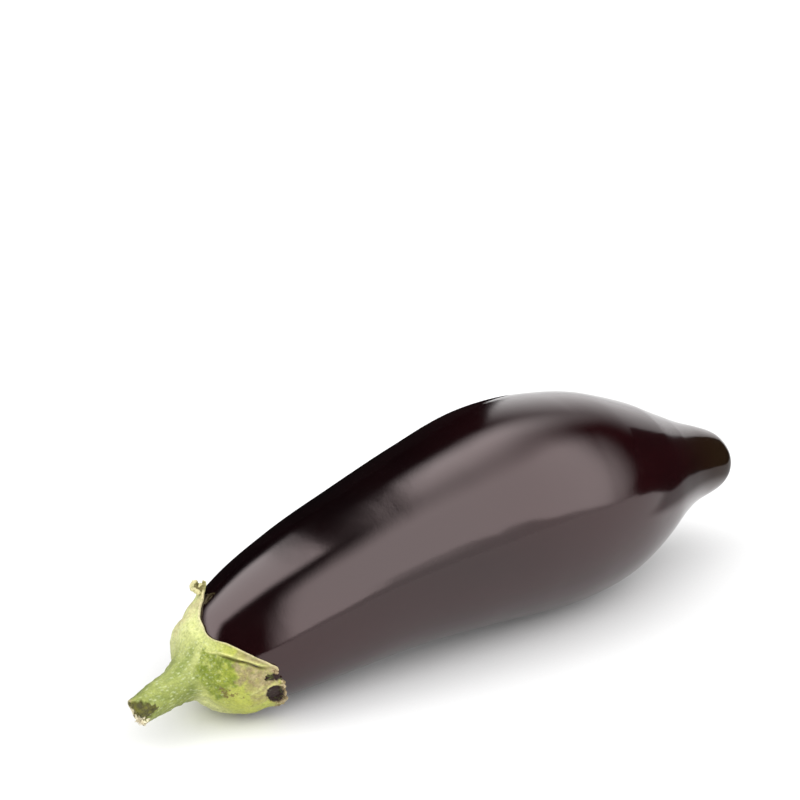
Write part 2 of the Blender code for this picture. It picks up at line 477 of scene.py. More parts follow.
GROOVE = [
    (-105.4, -44),
    (-104.1, -52),
    (-103.0, -57),
    (-102.0, -62),
    (-100.3, -67),
    (-99.0, -70),
    (-97.6, -74),
    (-96.6, -78),
    (-95.7, -80.5),
    (-93.9, -84),
    (-92.0, -86),
]
LIP = [(-107.4, -33), (-106.5, -37), (-105.0, -44), (-103.5, -50), (-102.4, -55), (-101.2, -60), (-99.6, -66), (-97.6, -72), (-95.0, -79), (-92.6, -83)]
LOBE_VALLEY = [(-105.0, -8), (-108.6, -10), (-111.0, -11), (-113.5, -13), (-117.0, -18), (-122.0, -24)]
UNDER_VALLEY = [(-104.0, -150), (-108.0, -146), (-111.5, -140), (-115.0, -134), (-120.0, -130)]
BACK_VALLEY = [(-103.5, 72), (-107.0, 74), (-110.5, 76), (-114.0, 78), (-119.0, 80)]
LOW_VALLEY = [(-103.0, 140), (-107.0, 140), (-110.5, 142), (-114.0, 144), (-119.0, 146)]
FIRST_RIDGE = [(-118.0, 22), (-113.0, 24), (-109.0, 24), (-104.0, 24), (-99.0, 24), (-94.0, 23)]
BACK_FOLD = [(-106.0, 84), (-102.5, 90), (-98.5, 96), (-94.5, 101), (-91.0, 104)]
BACK_FOLD_2 = [(-104.5, 128), (-101.0, 122), (-97.0, 116), (-93.5, 111), (-91.0, 109)]
LOW_FOLD = [(-105.0, 156), (-101.0, 161), (-97.0, 165), (-93.5, 168)]
MID_RIDGE = [(-119.0, -66), (-114.0, -70), (-110.0, -76), (-107.0, -84)]
CREASE = [(-101.8, -108), (-99.3, -104), (-97.0, -101.5), (-95.6, -100.5)]
CREASE_2 = [(-96.5, -113), (-95.9, -107), (-94.8, -103.2), (-92.8, -102.6), (-91.0, -104.0)]

SLIT = [
    (-95.3, -93.5),
    (-94.5, -91.2),
    (-93.6, -90.9),
    (-92.7, -92.6),
    (-92.0, -92.4),
    (-91.1, -94.0),
    (-90.4, -92.6),
    (-87.5, -91.5),
    (-87.5, -102.5),
    (-89.9, -101.6),
    (-90.9, -100.3),
    (-91.8, -99.6),
    (-93.0, -97.2),
    (-94.3, -96.6),
    (-95.1, -95.2),
]
HOLE = [
    (-95.2, -109),
    (-94.9, -105.6),
    (-93.6, -104.3),
    (-92.2, -104.6),
    (-91.0, -107),
    (-90.1, -112),
    (-89.7, -118),
    (-89.5, -124),
    (-89.9, -129),
    (-91.0, -130.5),
    (-92.2, -128.2),
    (-93.3, -126.6),
    (-94.3, -121.5),
    (-95.2, -115.5),
]


def flat(u, angle):
    """Stations and angles as millimetres in the plane, near the dried lobe end."""
    return (np.asarray(u, float) + 91.7) * 1.04, (np.asarray(angle, float) + 114.5) * 0.385


def openings(u, angle, ragged):
    """1 inside the slit and the hole of the dried lobe end, 0 on the sheet, and the distance to them."""
    x, y = flat(u, angle)
    near = np.full(u.shape, 1e9)
    for shape in (SLIT, HOLE):
        corners = np.stack(flat(*np.array(shape).T), -1)
        near = np.minimum(near, inside_distance(x, y, corners))
    near = near + ragged
    return 1 - ease((near + 0.16) / 0.32), near


def relief_of(points, uu, aa, edge):
    """Height of the fine relief on the green surface, and the masks that its material reads."""
    mask = {}
    rim_line = on_green([(rim_at(a), a) for a in np.linspace(-162, 198, 361)])
    from_rim, _ = distance_to(points, rim_line)
    on_calyx = ease((uu + 113.0) / 6.0)
    height = np.zeros(uu.shape)

    # A fine raised border along the edge, with faint rings behind it.
    height += on_calyx * (0.10 * np.exp(-(((from_rim - 0.35) / 0.35) ** 2)) - 0.05 * np.exp(-(((from_rim - 1.4) / 0.7) ** 2)))
    height += on_calyx * 0.018 * np.sin(from_rim * 3.3 + 0.9 * waves(points, 5.0, 31)) * ease((from_rim - 2.0) / 2.0) * ease((9.0 - from_rim) / 4.0)
    mask["edge"] = on_calyx * np.exp(-((from_rim / 0.45) ** 2))

    def line(pairs, depth, width, fade=0.12):
        d, t = distance_to(points, on_green(pairs))
        ends = ease(t / fade) * ease((1 - t) / fade)
        shape = np.exp(-((d / width) ** 2)) * ends
        return depth * shape, shape

    # The fold's mask paints its crease dark olive, partly its own colour and partly painted shade.
    groove, fold = line(GROOVE, -1.1, 0.44, 0.20)
    lip, lip_mask = line(LIP, 0.55, 0.50, 0.15)
    height += groove + lip
    mask["fold"], mask["lip"] = fold, lip_mask
    # Painted shade: the valleys, except the one underneath, also darken the colour.
    dark = np.zeros(uu.shape)
    for pairs, depth, width in (
        (LOBE_VALLEY, -0.55, 1.5),
        (UNDER_VALLEY, -0.6, 1.5),
        (BACK_VALLEY, -0.55, 1.6),
        (LOW_VALLEY, -0.5, 1.6),
    ):
        h, m = line(pairs, depth, width, 0.3)
        height += h
        if pairs is not UNDER_VALLEY:
            dark = np.maximum(dark, m)
    mask["valley"] = dark
    for pairs, depth, width in (
        (FIRST_RIDGE, 0.35, 1.8),
        (MID_RIDGE, 0.3, 1.6),
    ):
        height += line(pairs, depth, width, 0.3)[0]
    # The folds round the far side share that dark olive, partly painted shade in their creases.
    side = np.zeros(uu.shape)
    for pairs in (BACK_FOLD, BACK_FOLD_2, LOW_FOLD):
        h, m = line(pairs, -0.6, 0.4, 0.25)
        height += h
        side = np.maximum(side, m)
    mask["fold"] = np.maximum(mask["fold"], side * 0.8)
    for pairs, depth in ((CREASE, 0.35), (CREASE_2, 0.45)):
        h, m = line(pairs, depth, 0.5, 0.25)
        height += h
        mask["lip"] = np.maximum(mask["lip"], 0.7 * m)

    # The crown bulges where it is widest, and is leaner just behind the first lobe.
    height += 0.7 * bump(uu, -106.0, 1.0, 5.0) * bump(aa, 40.0, 25.0, 40.0)
    height -= 0.5 * bump(uu, -98.5, 2.0, 4.0) * bump(aa, 50.0, 15.0, 20.0)
    # Lobe middles sink a little between their borders.
    height -= 0.35 * bump(uu, -99.0, 2.0, 5.0) * bump(aa, -92.0, 10.0, 22.0)

    # Dried flesh towards the lobe ends.
    x, y = flat(uu, aa)
    dry_line = on_green([(-100.3, -80), (-97.5, -88), (-96.0, -97), (-94.5, -104)])
    d, _ = distance_to(points, dry_line)
    rough = 0.8 * waves(points, 5.0, 41) + 0.35 * waves(points, 1.8, 42)
    dry = 1 - ease((d - 2.6 + rough) / 2.6)
    ends = np.zeros(uu.shape)
    for tip, reach in (((-88.6, -127.0), 5.0), ((-90.5, -92.0), 2.6), ((-89.8, 24.0), 3.2), ((-87.0, 106.0), 6.0), ((-89.4, 170.0), 5.0)):
        spot = on_green([tip])[0]
        far = np.linalg.norm(points - spot, axis=-1)
        ends = np.maximum(ends, 1 - ease((far - reach * 0.45 + 0.5 * rough) / (reach * 0.6)))
    end_line = on_green([(-89.4, -104), (-88.6, -114), (-88.0, -124), (-88.0, -134), (-90.0, -143)])
    d, _ = distance_to(points, end_line)
    ends = np.maximum(ends, 1 - ease((d - 1.0 + 0.4 * rough) / 1.6))
    d, _ = distance_to(points, on_green([(-98.6, -62), (-96.4, -70), (-94.6, -78), (-92.6, -85), (-91.6, -88)]))
    dry = np.maximum(dry, 0.9 * (1 - ease((d - 1.0 + 0.4 * rough) / 1.7)))
    d, _ = distance_to(points, on_green([(-100.0, -84), (-99.4, -95), (-98.4, -106), (-97.2, -116)]))
    dry = np.maximum(dry, 0.75 * (1 - ease((d - 1.5 + 0.7 * rough) / 2.4)))
    mask["dry"] = dry
    mask["brown"] = ends

    # Deeper green on the lobe, and brown specks.
    patchy = 0.55 * waves(points, 5.0, 51) + 0.35 * waves(points, 2.1, 52)
    leaf = np.zeros(uu.shape)
    for pairs, reach, soft in (
        ([(-107.6, -34), (-106.6, -42), (-105.2, -51), (-103.0, -62), (-101.3, -70)], 0.7, 1.5),
        ([(-106.8, -46), (-106.4, -62), (-105.5, -74), (-105.2, -84)], 1.4, 2.4),
        ([(-110.8, -60), (-109.8, -75), (-108.6, -87), (-108.2, -97), (-108.6, -108)], 1.8, 2.6),
    ):
        d, _ = distance_to(points, on_green(pairs))
        leaf = np.maximum(leaf, 1 - ease((d - reach + patchy) / soft))
    mask["leaf"] = leaf
    # Drier and yellower on the way up to the first lobe.
    d, _ = distance_to(points, on_green([(-104.0, 34), (-102.4, 27), (-100.0, 21), (-97.0, 17), (-93.0, 20)]))
    mask["tan"] = 1 - ease((d - 1.2 + 0.8 * patchy) / 2.6)
    specks = np.zeros(uu.shape)
    for u0, a0, size in ((-107.8, -98, 0.95), (-107.2, -104, 1.15), (-107.0, -110, 1.0), (-105.7, -107, 0.8), (-104.6, -104, 0.45), (-106.2, -99, 0.45), (-107.9, -92, 0.3), (-103.0, -111, 0.3), (-100.5, -124, 0.35), (-104.0, 84, 0.5), (-101.0, 100, 0.4), (-99.0, 112, 0.6), (-103.5, 120, 0.4), (-102.0, 40, 0.35)):
        spot = on_green([(u0, a0)])[0]
        far = np.linalg.norm(points - spot, axis=-1)
        specks = np.maximum(specks, 1 - ease((far - size * 0.5 + 0.26 * waves(points, 0.9, 61)) / (size * 0.8)))
    mask["speck"] = specks
    height -= 0.08 * specks

    # Wrinkles, finer where it has dried, and the felt of short hairs.
    soft = 0.07 * waves(points, 4.5, 71) + 0.035 * waves(points, 1.7, 72)
    soft += 0.05 * waves(points * [0.16, 1.0, 1.0], 1.9, 74) * ease((-108.0 - uu) / 6.0)
    height += soft + (dry * 0.05 + ends * 0.11) * waves(points * [0.6, 1.2, 1.2], 1.5, 73)
    return height, mask


def build_green():
    sides = 540
    angle = np.linspace(-162.0, 198.0, sides, endpoint=False)
    edge = rim_at(angle)
    circle = np.stack([np.cos(np.radians(angle)), np.sin(np.radians(angle)), np.zeros(sides)], -1)
    dried = np.clip(bump(angle, -125.0, 18.0, 8.0) + bump(angle, 24.0, 4.0, 5.0) + bump(angle, 106.0, 4.0, 6.0) + bump(angle, 170.0, 4.0, 6.0), 0, 1)
    edge = edge + 0.02 * waves(circle * 21, 4.0, 21) + dried * (0.28 * waves(circle * 21, 2.0, 22) + 0.12 * waves(circle * 21, 0.9, 23))

    # Stations evenly spread along each profile, from the seam to the edge.
    steps, fine = 108, 220
    share = (1 - np.cos(math.pi * np.linspace(0, 1, fine))) / 2
    us = SEAM + (edge[None] - SEAM) * share[:, None]
    rr = green_radius(us, np.broadcast_to(angle, us.shape), np.broadcast_to(edge, us.shape))
    run = np.concatenate([np.zeros((1, sides)), np.cumsum(np.hypot(np.diff(us, axis=0), np.diff(rr, axis=0)), axis=0)])
    uu = np.stack([np.interp(np.linspace(0, 1, steps) * run[-1, j], run[:, j], us[:, j]) for j in range(sides)], 1)
    aa = np.broadcast_to(angle, uu.shape)
    ee = np.broadcast_to(edge, uu.shape)
    turn = np.radians(aa)

    # The stem's stations carry on from the same ring, so that the two pieces meet without a line.
    suu = (SEAM + (end_at(angle)[None] - SEAM) * np.linspace(0, 1, 100)[:, None])[::-1][:-1]
    whole_u = np.concatenate([suu, uu])
    whole_a = np.broadcast_to(angle, whole_u.shape)
    whole_e = np.broadcast_to(edge, whole_u.shape)
    radius = green_radius(whole_u, whole_a, whole_e) + lift_at(whole_u, whole_a)
    base = place(whole_u, np.radians(whole_a), radius, green_oval(whole_u))
    normal = normals_of(base)
    height, mask = relief_of(base, whole_u, whole_a, whole_e)

    # The stem's cut end: a torn wedge on the near side, and loose strands below it.
    from_end = whole_u - end_at(whole_a) + 0.5
    wedge_half = 68.0 * np.clip(1 - from_end / 8.2, 0, 1) ** 0.9
    off = np.abs((whole_a + 56.0 + 26.0 * np.clip(from_end / 8.2, 0, 1) + 180) % 360 - 180)
    wedge = ease((wedge_half - off + 4.0 * waves(base, 2.2, 85)) / 10.0 + 0.5) * (wedge_half > 0)
    height -= 0.8 * wedge * ease((8.2 - from_end) / 5.0)
    mask["wedge"] = wedge
    mask["end"] = np.exp(-np.maximum(from_end - 0.5, 0) / 0.5)
    low = np.abs((whole_a + 142.0 + 180) % 360 - 180)
    mask["torn"] = (1 - ease((low - 34.0) / 16.0)) * (1 - ease((from_end - 2.0 + 0.8 * waves(base, 1.4, 86)) / 1.2))
    height += mask["torn"] * 0.22 * waves(base * [0.5, 1.0, 1.0], 0.9, 87)
    points = base + normal * height[..., None]

    # Painted shade: inside the slit and the hole a near-black sheet is laid just above the skin, standing in for the
    # shade there.
    open_mask, near = openings(whole_u, whole_a, 0.15 * waves(base, 1.1, 81) + 0.10 * waves(base, 0.6, 82))
    skin = fruit_radius(np.maximum(whole_u, NECK_POLE))
    shade_sheet = place(whole_u, np.radians(whole_a), skin + 0.14, green_oval(whole_u))
    points = points + (shade_sheet - points) * open_mask[..., None]
    mask["wall"] = np.exp(-(np.maximum(near, 0) / 0.45) ** 2) * (whole_u > -97)
    mask["pit"] = open_mask

    split = len(suu)
    calyx = {k: v[split:] for k, v in mask.items()}
    stem = {k: v[: split + 1] for k, v in mask.items()}
    top = points[split:]

    # Rounded edge, then the underside back to the middle.
    rings, rows = [top], [calyx]
    last = top[-1]
    e_skin = fruit_radius(edge)
    e_lift = lift_at(edge, angle)
    turn1 = np.radians(angle)
    e_open, _ = openings(edge, angle, np.zeros(sides))
    thick = thickness_at(edge, angle)
    for du, drop in ((0.14, 0.06), (0.27, 0.22), (0.33, 0.45), (0.30, 0.75), (0.16, 1.0)):
        reach = e_skin + thick * (1 - drop) + e_lift * (1 + 0.12 * drop) - 0.3 * drop
        reach = reach * (1 - e_open) + (e_skin - 0.8) * e_open
        ring = place(edge + du, turn1, reach, green_oval(edge))
        rings.append(ring[None])
        rows.append({k: v[-1:] for k, v in calyx.items()})
    for k in range(1, 26):
        back = edge + (NECK_POLE + 0.5 - edge) * (k / 25.0) ** 1.5
        e_open, _ = openings(back, angle, np.zeros(sides))
        reach = fruit_radius(back) - 0.3 + 1.12 * lift_at(back, angle) * (1 - k / 25.0)
        reach = np.maximum(reach * (1 - e_open) + (fruit_radius(back) - 1.2) * e_open, 0.3)
        rings.append(place(back, turn1, reach, green_oval(back))[None])
        rows.append({key: np.maximum(v[-1:], 0) for key, v in calyx.items()})
    grid = np.concatenate(rings)
    values = {k: np.concatenate([r[k] for r in rows]).ravel() for k in calyx}
    n = len(grid)
    shell = Shell()
    faces = ring_faces(n, sides, flip=True)
    faces.append(tuple(range(sides)))
    pole = n * sides
    faces += fan_faces((n - 1) * sides, sides, pole, flip=True)
    extra = {k: np.append(v, 0.0) for k, v in values.items()}
    shell.add(np.concatenate([grid.reshape(-1, 3), centre(NECK_POLE + 0.5)[None]]), faces, **extra)
    add_tips(shell)
    calyx_obj = shell.build("calyx_leaf")

    # Stem: a hidden plug inside the calyx, the visible length, then the cut face in rings.
    sgrid = points[: split + 1][::-1]  # from the seam to the cut
    srow = {k: v[::-1] for k, v in stem.items()}
    middle = centre(SEAM)
    plug = middle + (sgrid[0] - middle) * 0.8 + np.array([1.2, 0, 0.0])
    end_middle = sgrid[-1].mean(axis=0)
    along = centre(CUT - 0.5) - centre(CUT + 0.5)
    along /= np.linalg.norm(along)
    out = sgrid[-1] - end_middle
    face_rings, face_rows = [], []
    for share_r in (0.985, 0.955, 0.90, 0.82, 0.74, 0.64, 0.54, 0.44, 0.34, 0.24, 0.14, 0.06):
        ring = end_middle + out * share_r
        rise = 0.5 * ease((1 - share_r) / 0.06) - 0.55 * ease((0.93 - share_r) / 0.12)
        rise = rise + 0.28 * waves(ring, 1.5, 91) * ease((0.95 - share_r) / 0.2) + 0.15 * waves(ring, 0.7, 92) * ease((0.95 - share_r) / 0.2)
        low = ease((off_low(angle) - 40) / 50.0)
        rise = rise - 0.5 * low * bump(share_r, 0.7, 0.18, 0.12)
        face_rings.append((ring + along * rise[:, None])[None])
        row = {k: np.zeros((1, sides)) for k in srow}
        row["end"] = np.ones((1, sides))
        row["wedge"] = srow["wedge"][-1:] * float(share_r > 0.93)
        row["core"] = np.full((1, sides), 1 - share_r)
        row["face"] = np.full((1, sides), float(ease((0.97 - share_r) / 0.05)))
        row["torn"] = ease((off_low(angle) - 75) / 40.0)[None] * share_r
        face_rows.append(row)
    for key in ("core", "face"):
        srow[key] = np.zeros_like(srow["end"])
    grid = np.concatenate([plug[None], sgrid] + face_rings)
    rows = [{k: v[:1] for k, v in srow.items()}, srow] + face_rows
    values = {k: np.concatenate([r[k] for r in rows]).ravel() for k in srow}
    n = len(grid)
    shell = Shell()
    faces = ring_faces(n, sides)
    faces.append(tuple(range(sides))[::-1])
    pole = n * sides
    faces += fan_faces((n - 1) * sides, sides, pole)
    extra = {k: np.append(v, 1.0 if k in ("end", "core", "face") else 0.0) for k, v in values.items()}
    shell.add(np.concatenate([grid.reshape(-1, 3), (end_middle - along * 0.1)[None]]), faces, **extra)
    add_fibres(shell, end_middle, out, along, angle)
    stem_obj = shell.build("stem_stalk")
    return calyx_obj, stem_obj


def off_low(angle):
    """Degrees away from straight up, so 180 is underneath."""
    return np.abs((angle + 180) % 360 - 180)


# ---------------------------------------------------------------- camera directions
AZIMUTH, ELEVATION = math.radians(-40.0), math.radians(24.5)
BACK = np.array([math.sin(AZIMUTH) * math.cos(ELEVATION), -math.cos(AZIMUTH) * math.cos(ELEVATION), math.sin(ELEVATION)])
RIGHT = np.array([math.cos(AZIMUTH), math.sin(AZIMUTH), 0.0])
UPWARD = np.cross(BACK, RIGHT)


def add_tips(shell):
    """The curled, dried ends of the lobes."""
    base = on_green([(-92.9, 23.0)])[0] + RIGHT * 0.25 - UPWARD * 0.1 + BACK * 0.3

    def at(right, up, back=0.0):
        return base + RIGHT * right + UPWARD * up + BACK * back

    middle = at(-1.6, 2.1)

    def tip_piece(path, side, half, thickness, cup, seed, steps=30, **values):
        loop, faces, inner, edge, far = ribbon(path, side, half, thickness, cup=cup, steps=steps, across=11)
        loop = loop + (0.10 * waves(loop, 1.4, seed) + 0.04 * waves(loop, 0.7, seed + 50))[..., None]
        got = {k: v(inner, edge, far) if callable(v) else v for k, v in values.items()}
        shell.add(loop, faces, tip=np.ones(loop.shape[:2]), **got)

    # The end of the first lobe is rolled into a small cup: a pale outer rim and olive brown within.
    rim = [at(-0.2, -0.5, 0.1), at(-1.1, -0.2, 0.5), at(-2.2, 0.4, 0.8), at(-3.1, 1.2, 0.9), at(-3.4, 2.2, 0.8), at(-2.9, 3.2, 0.6), at(-2.1, 3.8, 0.4), at(-1.3, 3.9, 0.1)]
    ways = np.array([(middle - p) / np.linalg.norm(middle - p) * 0.8 + BACK * 0.55 for p in rim])
    tip_piece(rim, ways, [0.5, 0.75, 0.85, 0.85, 0.8, 0.7, 0.55, 0.3], 0.5, 0.25, 101, steps=40, edge=1.0, brown=lambda i, e, f: 0.25 * f)
    within = [at(0.3, -0.5, -0.2), at(-0.4, 0.6, -0.3), at(-1.2, 1.7, -0.5), at(-1.9, 2.7, -0.2), at(-2.2, 3.5, 0.3)]
    tip_piece(within, RIGHT * 0.75 + UPWARD * 0.66, [0.9, 1.5, 1.7, 1.4, 0.8], 0.4, -0.25, 102, olive=1.0)
    # The small leaf beside it, and a pale bud between the two.
    leaf = [at(0.1, -0.9, -0.4), at(0.1, 0.3, -0.2), at(0.3, 1.5, 0.0), at(0.7, 2.7, 0.2), at(0.8, 3.6, 0.4), at(0.5, 4.0, 0.8)]
    tip_piece(leaf, RIGHT * 0.95 + BACK * 0.25, [0.7, 1.0, 1.05, 0.9, 0.65, 0.3], 0.42, 0.3, 103, olive=lambda i, e, f: 0.9 - 0.6 * e, edge=lambda i, e, f: 0.6 * e)
    bud = [at(-0.9, 1.9, 0.6), at(-0.6, 2.5, 0.8), at(-0.2, 2.9, 0.8), at(0.3, 3.0, 0.6)]
    tip_piece(bud, UPWARD * 0.8 + BACK * 0.5, [0.2, 0.42, 0.42, 0.2], 0.4, 0.1, 105, steps=16, edge=0.9)
    # A hook on the lobe of the far side.
    base = on_green([(-89.5, 106.0)])[0]
    below, ahead = on_green([(-91.5, 106.0)])[0], on_green([(-88.0, 106.0)])[0]
    out = base - centre(-89.5)
    out /= np.linalg.norm(out)
    way = ahead - below
    way /= np.linalg.norm(way)
    turned = np.cross(out, way)

    def off(along, rise, across=0.0):
        return base + way * along + out * rise + turned * across

    path = [off(-2.0, -0.2), off(0.0, 0.0), off(1.5, 0.4, 0.2), off(2.6, 1.2, 0.3), off(3.0, 2.2, 0.4), off(2.4, 3.0, 0.3), off(1.5, 2.9, 0.2)]
    loop, faces, inner, edge, far = ribbon(path, turned, [2.0, 1.8, 1.4, 1.2, 1.0, 0.7, 0.35], 0.5, cup=0.2, steps=34)
    loop = loop + 0.12 * waves(loop, 1.4, 103)[..., None] * np.array([0.5, 0.6, 0.6])
    shell.add(loop, faces, brown=0.45 + 0.5 * far, edge=0.6 * edge, tip=np.ones(loop.shape[:2]))


def add_fibres(shell, middle, out, along, angle):
    """Short pale strands that stand out of the torn lower side of the cut."""
    rng = np.random.default_rng(7)
    for k in range(26):
        target = rng.uniform(-195, -92)
        j = int(np.argmin(np.abs((angle - target + 180) % 360 - 180)))
        r = rng.uniform(0.6, 1.0)
        root = middle + out[j] * r - along * 0.5
        length = rng.uniform(0.4, 1.5)
        lean = out[j] / np.linalg.norm(out[j]) * rng.uniform(-0.15, 0.35) + rng.normal(size=3) * 0.15
        tip = root + along * (0.6 + length) + lean * length
        mid = (root + tip) / 2 + rng.normal(size=3) * 0.12
        side = np.cross(along, out[j])
        loop, faces, inner, edge, far = ribbon([root, mid, tip], side, [0.28, 0.24, 0.08], 0.16, steps=8, across=4)
        shell.add(loop, faces, fibre=np.ones(loop.shape[:2]), end=np.ones(loop.shape[:2]), brown=0.2 * (k % 3 == 0))


# ---------------------------------------------------------------- materials
class Nodes:
    """Short calls for building a node material."""

    def __init__(self, name):
        self.material = bpy.data.materials.new(name)
        self.material.use_nodes = True
        self.tree = self.material.node_tree
        self.shader = self.tree.nodes["Principled BSDF"]
        self.coords = self.tree.nodes.new("ShaderNodeTexCoord").outputs["Object"]

    def new(self, kind, **settings):
        node = self.tree.nodes.new(kind)
        for key, value in settings.items():
            setattr(node, key, value)
        return node

    def set(self, socket, value):
        if isinstance(value, bpy.types.NodeSocket):
            self.tree.links.new(value, socket)
        elif isinstance(value, tuple) and len(value) == 3 and socket.type == "RGBA":
            socket.default_value = (*value, 1.0)
        else:
            socket.default_value = value

    def value(self, name):
        return self.new("ShaderNodeAttribute", attribute_name=name).outputs["Fac"]

    def scaled(self, x, y, z):
        node = self.new("ShaderNodeMapping")
        self.set(node.inputs["Vector"], self.coords)
        node.inputs["Scale"].default_value = (x, y, z)
        return node.outputs["Vector"]

    def noise(self, scale, detail=3.0, rough=0.55, vector=None, distort=0.0):
        node = self.new("ShaderNodeTexNoise")
        self.set(node.inputs["Vector"], vector or self.coords)
        node.inputs["Scale"].default_value = scale
        node.inputs["Detail"].default_value = detail
        node.inputs["Roughness"].default_value = rough
        node.inputs["Distortion"].default_value = distort
        return node.outputs["Fac"]

    def cells(self, scale, vector=None, feature="F1", spread=1.0):
        node = self.new("ShaderNodeTexVoronoi", feature=feature)
        self.set(node.inputs["Vector"], vector or self.coords)
        node.inputs["Scale"].default_value = scale
        node.inputs["Randomness"].default_value = spread
        return node.outputs["Distance"]

    def span(self, value, low, high, to_low=0.0, to_high=1.0):
        node = self.new("ShaderNodeMapRange", interpolation_type="SMOOTHSTEP")
        self.set(node.inputs["Value"], value)
        node.inputs["From Min"].default_value = low
        node.inputs["From Max"].default_value = high
        node.inputs["To Min"].default_value = to_low
        node.inputs["To Max"].default_value = to_high
        return node.outputs["Result"]

    def math(self, kind, a, b=0.0, c=0.0):
        node = self.new("ShaderNodeMath", operation=kind)
        for socket, value in zip(node.inputs, (a, b, c)):
            self.set(socket, value)
        return node.outputs[0]

    def mix(self, factor, a, b, kind="MIX"):
        node = self.new("ShaderNodeMix", data_type="RGBA", blend_type=kind)
        self.set(node.inputs["Factor"], factor)
        self.set(node.inputs["A"], a)
        self.set(node.inputs["B"], b)
        return node.outputs["Result"]

    def shade(self, colour, value, low, high):
        """The colour made darker or lighter, from low to high as the value goes from 0 to 1."""
        return self.mix(1.0, colour, self.mix(value, (low, low, low), (high, high, high)), "MULTIPLY")

    def bumps(self, layers):
        """Bump nodes one after the other; each layer is (height, strength, distance)."""
        before = None
        for height, strength, distance in layers:
            node = self.new("ShaderNodeBump")
            self.set(node.inputs["Height"], height)
            node.inputs["Strength"].default_value = strength
            node.inputs["Distance"].default_value = distance
            if before is not None:
                self.set(node.inputs["Normal"], before)
            before = node.outputs["Normal"]
        self.set(self.shader.inputs["Normal"], before)

    def position(self):
        node = self.new("ShaderNodeSeparateXYZ")
        self.set(node.inputs[0], self.coords)
        return node.outputs


def skin_material():
    m = Nodes("skin_gloss")
    x, y, z = m.position()
    slow = m.noise(26.0, 3.0)
    streak = m.noise(60.0, 4.0, vector=m.scaled(0.35, 1.0, 1.0))
    colour = m.mix(m.span(slow, 0.35, 0.68), (0.0019, 0.0005, 0.0008), (0.0033, 0.0009, 0.0012))
    # Redder low on the sides and towards the blossom end, where the skin is thinner.
    ruddy = m.math("MAXIMUM", m.span(x, -0.04, 0.07), m.span(z, 0.050, 0.020))
    ruddy = m.math("MULTIPLY", ruddy, m.span(streak, 0.35, 0.65, 0.7, 1.0))
    colour = m.mix(ruddy, colour, (0.0098, 0.0013, 0.0019))
    # Olive brown at the blossom end and on the pale spot where it rests.
    nose = m.span(x, 0.090, 0.132)
    colour = m.mix(m.math("MULTIPLY", nose, m.span(slow, 0.3, 0.7, 0.75, 1.0)), colour, (0.0120, 0.0066, 0.0026))
    under = m.span(z, 0.010, 0.0)
    colour = m.mix(m.math("MULTIPLY", under, 0.5), colour, (0.030, 0.016, 0.013))
    # Pale pin-point lenticels, mostly near the blossom end.
    dots = m.span(m.cells(520.0), 0.16, 0.07)
    keep = m.span(m.noise(330.0, 1.0), 0.56, 0.64)
    where = m.math("ADD", m.math("MULTIPLY", m.span(x, 0.04, 0.12), 0.75), 0.12)
    dots = m.math("MULTIPLY", m.math("MULTIPLY", dots, keep), where)
    colour = m.mix(m.math("MULTIPLY", dots, 0.6), colour, (0.075, 0.055, 0.034))
    scar = m.value("scar")
    rough_scar = m.noise(1400.0, 3.0)
    tan = m.mix(m.span(rough_scar, 0.35, 0.65), (0.13, 0.075, 0.030), (0.34, 0.24, 0.12))
    colour = m.mix(scar, colour, tan)
    m.set(m.shader.inputs["Base Color"], colour)
    gloss = m.math("ADD", m.span(m.noise(45.0, 3.0), 0.3, 0.7, 0.105, 0.14), m.math("MULTIPLY", dots, 0.2))
    gloss = m.math("ADD", gloss, m.math("MULTIPLY", scar, 0.45))
    m.set(m.shader.inputs["Roughness"], gloss)
    m.shader.inputs["IOR"].default_value = 1.62
    m.shader.inputs["Specular Tint"].default_value = (1.0, 0.80, 0.80, 1.0)
    m.bumps(
        [
            (m.noise(34.0, 2.0), 0.035, 0.004),
            (m.noise(240.0, 2.0), 0.02, 0.0006),
            (m.noise(1500.0, 2.0), 0.05, 0.0002),
            (m.math("MULTIPLY", dots, -1.0), 0.10, 0.0003),
        ]
    )
    return m.material


